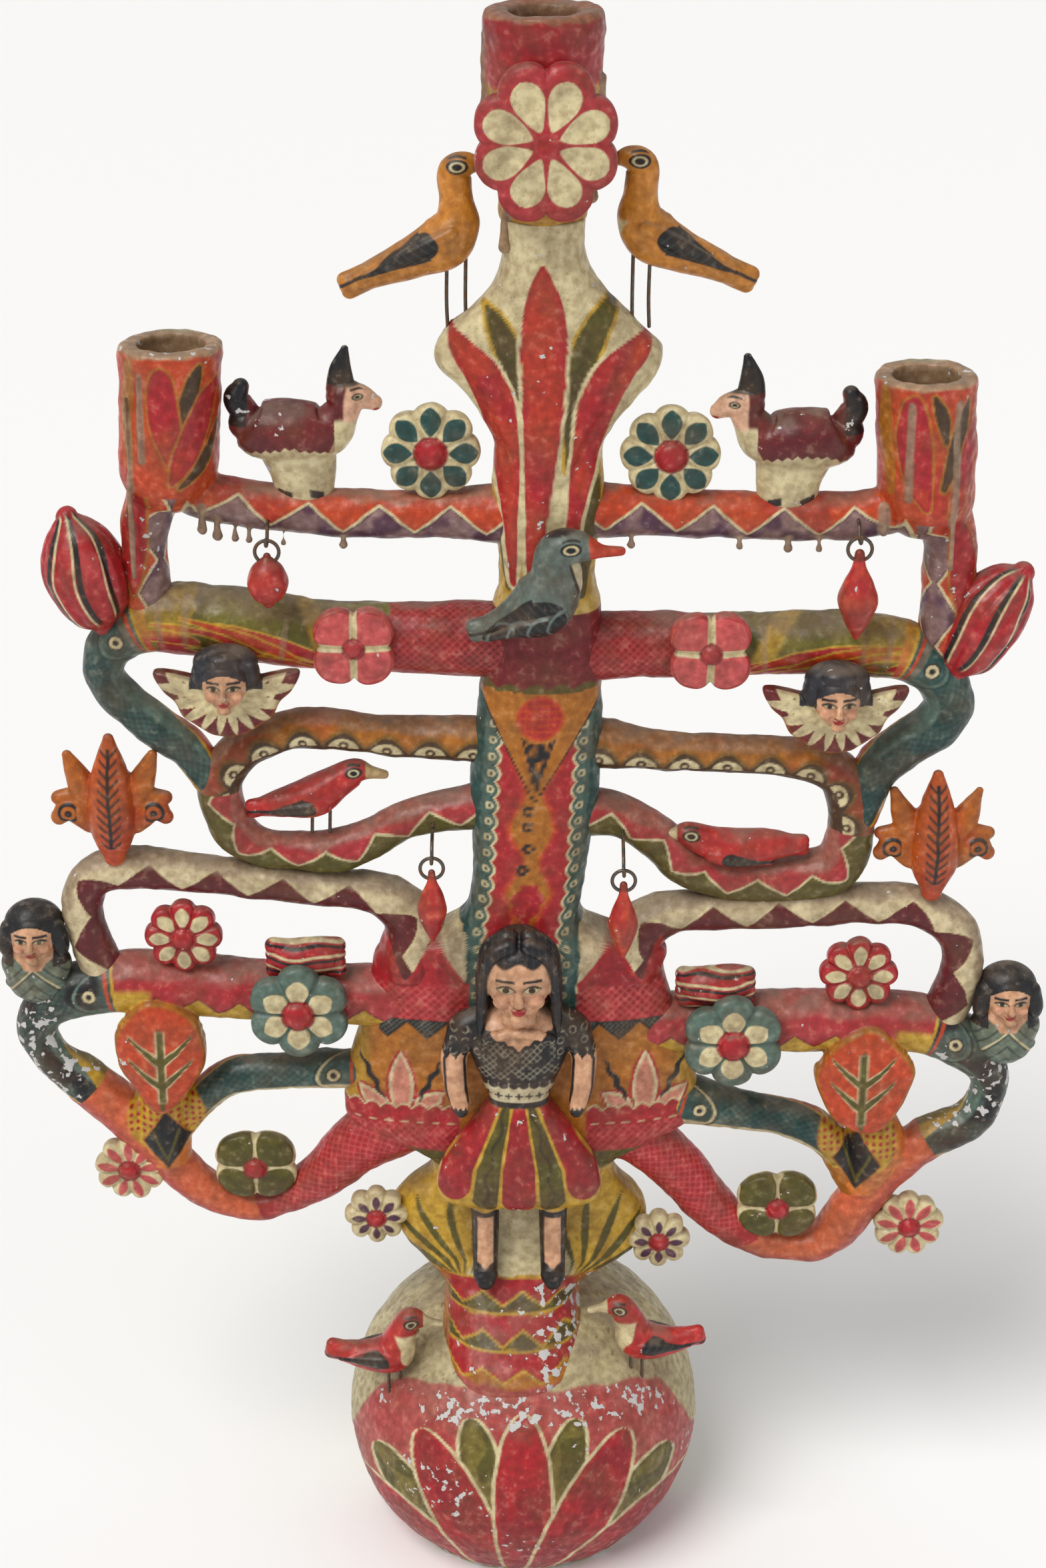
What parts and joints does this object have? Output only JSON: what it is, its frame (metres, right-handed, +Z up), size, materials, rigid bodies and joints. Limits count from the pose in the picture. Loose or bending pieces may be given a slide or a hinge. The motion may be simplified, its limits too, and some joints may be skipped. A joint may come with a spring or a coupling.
{
  "type": "clay tree of life candelabrum",
  "caption": "Clay tree of life candelabrum on a hollow ball foot, with looping painted arms, candle cups, birds, flowers, small figures and hanging clay drops.",
  "frame": {"origin": "middle of the foot rim, on the surface that the tree stands on", "axes": "+Z up, -Y towards the viewer of the painted front, +X to the right of that viewer"},
  "size_m": [0.391, 0.138, 0.6],
  "materials": {
    "cream_clay": "cream slip over low-fired clay, varnished, chipped to white in places",
    "ochre_clay": "ochre aniline paint and varnish on low-fired clay",
    "orange_clay": "orange aniline paint and varnish on low-fired clay",
    "red_clay": "red aniline paint and varnish on low-fired clay",
    "burgundy_clay": "burgundy paint and varnish on low-fired clay",
    "olive_clay": "olive paint and varnish on low-fired clay",
    "pink_clay": "pink paint and varnish on low-fired clay",
    "green_clay": "blue-green paint and varnish on low-fired clay",
    "blue_clay": "blue-black paint and varnish on low-fired clay",
    "iron_wire": "thin annealed iron wire, dark with age"
  },
  "bodies": {
    "root": {"base_dome": "cream_clay", "grey_bird": "blue_clay", "lady": "blue_clay", "left_animal": "burgundy_clay", "left_base_bird": "red_clay", "left_base_bird_legs": "iron_wire", "left_bust": "green_clay", "left_candle_arm": "orange_clay", "left_four_petal_flower": "pink_clay", "left_green_daisy": "green_clay", "left_lower_branch": "orange_clay", "left_lower_hook": "iron_wire", "left_mid_bird": "red_clay", "left_olive_flower": "olive_clay", "left_pink_daisy": "pink_clay", "left_red_daisy": "red_clay", "left_second_arm": "olive_clay", "left_six_petal_flower": "green_clay", "left_striped_bud": "red_clay", "left_third_arm": "ochre_clay", "left_top_bird": "ochre_clay", "left_top_bird_legs": "iron_wire", "left_tulip": "orange_clay", "left_upper_hook": "iron_wire", "left_winged_head": "burgundy_clay", "left_zigzag_loop": "burgundy_clay", "right_animal": "burgundy_clay", "right_base_bird": "red_clay", "right_base_bird_legs": "iron_wire", "right_bust": "green_clay", "right_candle_arm": "orange_clay", "right_four_petal_flower": "pink_clay", "right_green_daisy": "green_clay", "right_lower_branch": "orange_clay", "right_lower_hook": "iron_wire", "right_mid_bird": "red_clay", "right_olive_flower": "olive_clay", "right_pink_daisy": "pink_clay", "right_red_daisy": "red_clay", "right_second_arm": "olive_clay", "right_six_petal_flower": "green_clay", "right_striped_bud": "red_clay", "right_third_arm": "ochre_clay", "right_top_bird": "ochre_clay", "right_top_bird_legs": "iron_wire", "right_tulip": "orange_clay", "right_upper_hook": "iron_wire", "right_winged_head": "burgundy_clay", "right_zigzag_loop": "burgundy_clay", "top_cup": "ochre_clay", "top_flower": "cream_clay", "trunk": "cream_clay"},
    "left_upper_pendant_swing": {"left_upper_pendant": "red_clay", "left_upper_ring": "iron_wire"},
    "right_upper_pendant_swing": {"right_upper_pendant": "red_clay", "right_upper_ring": "iron_wire"},
    "left_lower_pendant_swing": {"left_lower_pendant": "red_clay", "left_lower_ring": "iron_wire"},
    "right_lower_pendant_swing": {"right_lower_pendant": "red_clay", "right_lower_ring": "iron_wire"}
  },
  "joints": [
    {"name": "left_upper_pendant_hang", "type": "hinge", "parent": "root", "child": "left_upper_pendant_swing", "pos_m": [-0.089, -0.0165, 0.4175], "axis": [0, 1, 0], "range_deg": [-35, 35]},
    {"name": "right_upper_pendant_hang", "type": "hinge", "parent": "root", "child": "right_upper_pendant_swing", "pos_m": [0.117, -0.0165, 0.4185], "axis": [0, 1, 0], "range_deg": [-35, 35]},
    {"name": "left_lower_pendant_hang", "type": "hinge", "parent": "root", "child": "left_lower_pendant_swing", "pos_m": [-0.033, -0.0225, 0.297], "axis": [0, 1, 0], "range_deg": [-20, 35]},
    {"name": "right_lower_pendant_hang", "type": "hinge", "parent": "root", "child": "right_lower_pendant_swing", "pos_m": [0.0365, -0.0225, 0.292], "axis": [0, 1, 0], "range_deg": [-35, 20]}
  ]
}
